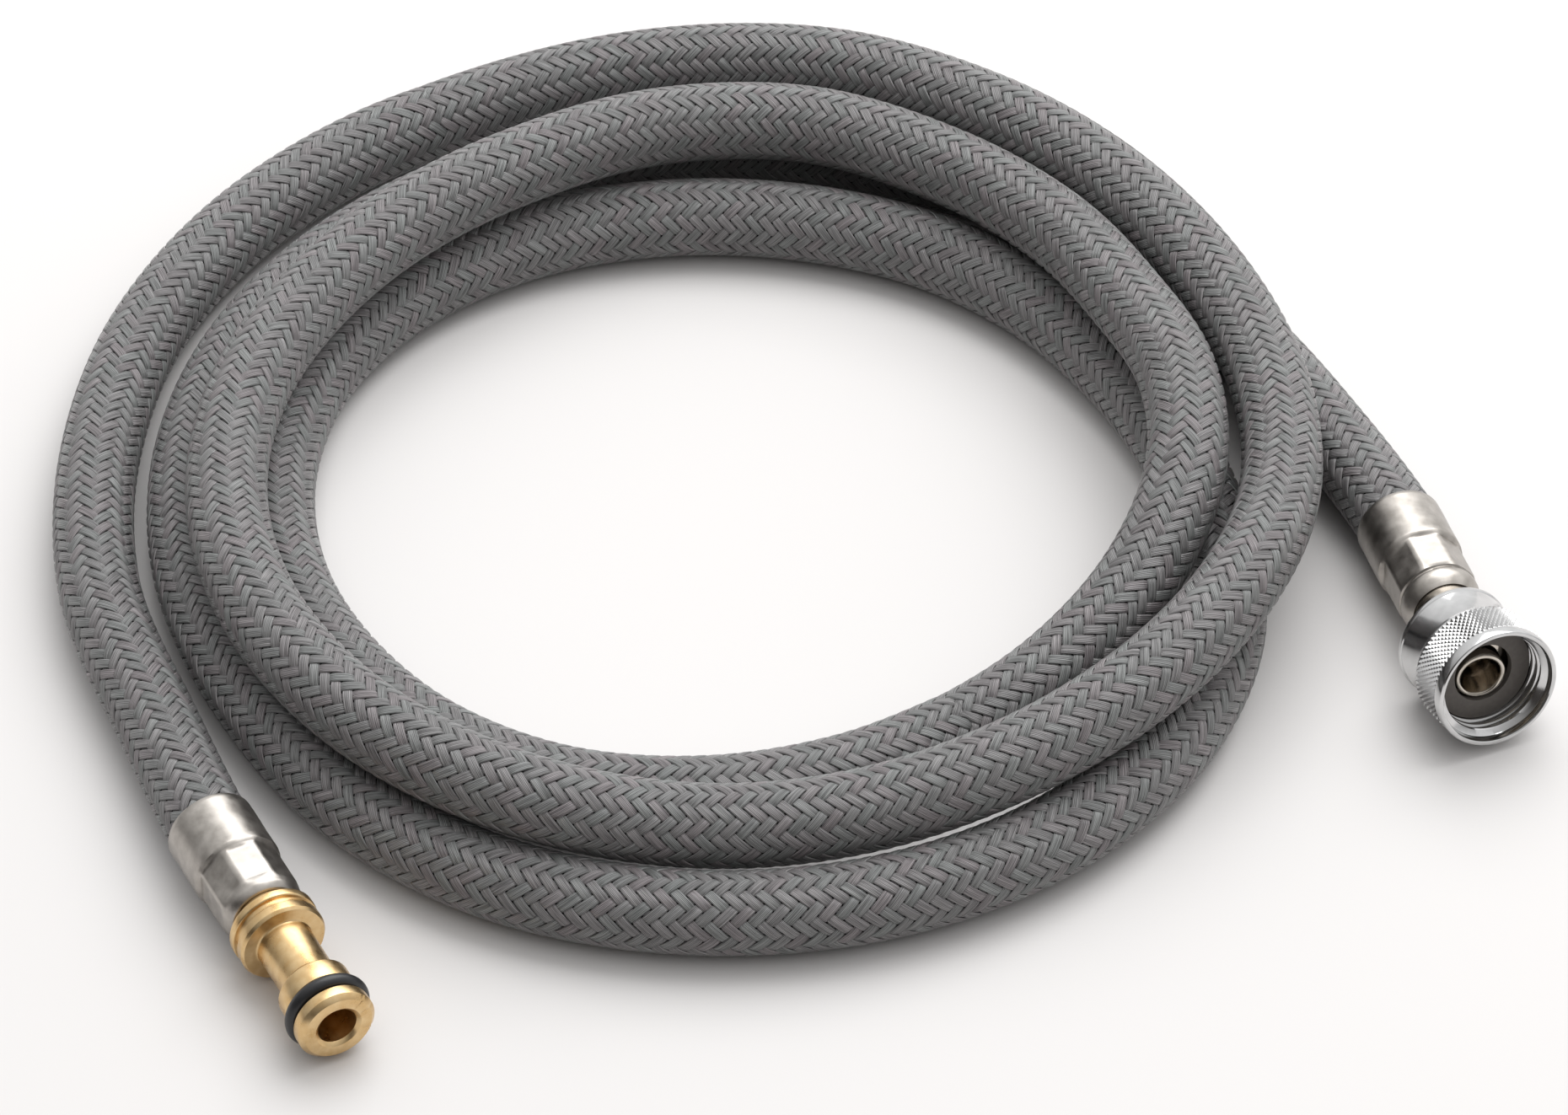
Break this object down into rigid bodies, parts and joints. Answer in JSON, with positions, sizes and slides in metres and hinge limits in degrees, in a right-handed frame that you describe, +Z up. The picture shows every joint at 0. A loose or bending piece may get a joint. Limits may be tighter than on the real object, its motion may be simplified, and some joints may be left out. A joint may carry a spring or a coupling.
{
  "type": "braided supply hose",
  "caption": "Loosely coiled braided water hose with a machined quick-connect spigot and O-ring at one end and a knurled swivel union nut at the other.",
  "frame": {"origin": "on the floor, under the middle of the bounding box of the coil and its fittings", "axes": "+Z up, +X across the coil towards the union nut, -Y towards the two open ends"},
  "size_m": [0.2708, 0.2675, 0.0314],
  "materials": {
    "liner_polymer": "smooth",
    "braid_nylon": "woven nylon yarn, slight sheen",
    "ferrule_steel": "pressed, satin",
    "spigot_brass": "turned, satin",
    "seal_rubber": "smooth",
    "stem_nickel": "bright nickel plate",
    "ring_steel": "satin",
    "washer_rubber": "matt",
    "nut_chrome": "bright plate, knurled band"
  },
  "bodies": {
    "hose": {"liner": "liner_polymer", "braid": "braid_nylon", "spigot_ferrule": "ferrule_steel", "spigot_body": "spigot_brass", "spigot_o_ring": "seal_rubber", "nut_ferrule": "ferrule_steel", "nut_stem": "stem_nickel"},
    "washer": {"flat_washer": "washer_rubber"},
    "nut": {"swivel_nut": "nut_chrome", "snap_ring": "ring_steel"}
  },
  "joints": [
    {"name": "nut_play", "type": "slide", "parent": "hose", "child": "washer", "axis": [0.3763, -0.9084, 0.1822], "range_m": [-0.0005, 0.0005]},
    {"name": "nut_spin", "type": "hinge", "parent": "washer", "child": "nut", "pos_m": [0.12091, -0.04446, 0.01145], "axis": [0.3763, -0.9084, 0.1822], "continuous": true}
  ]
}
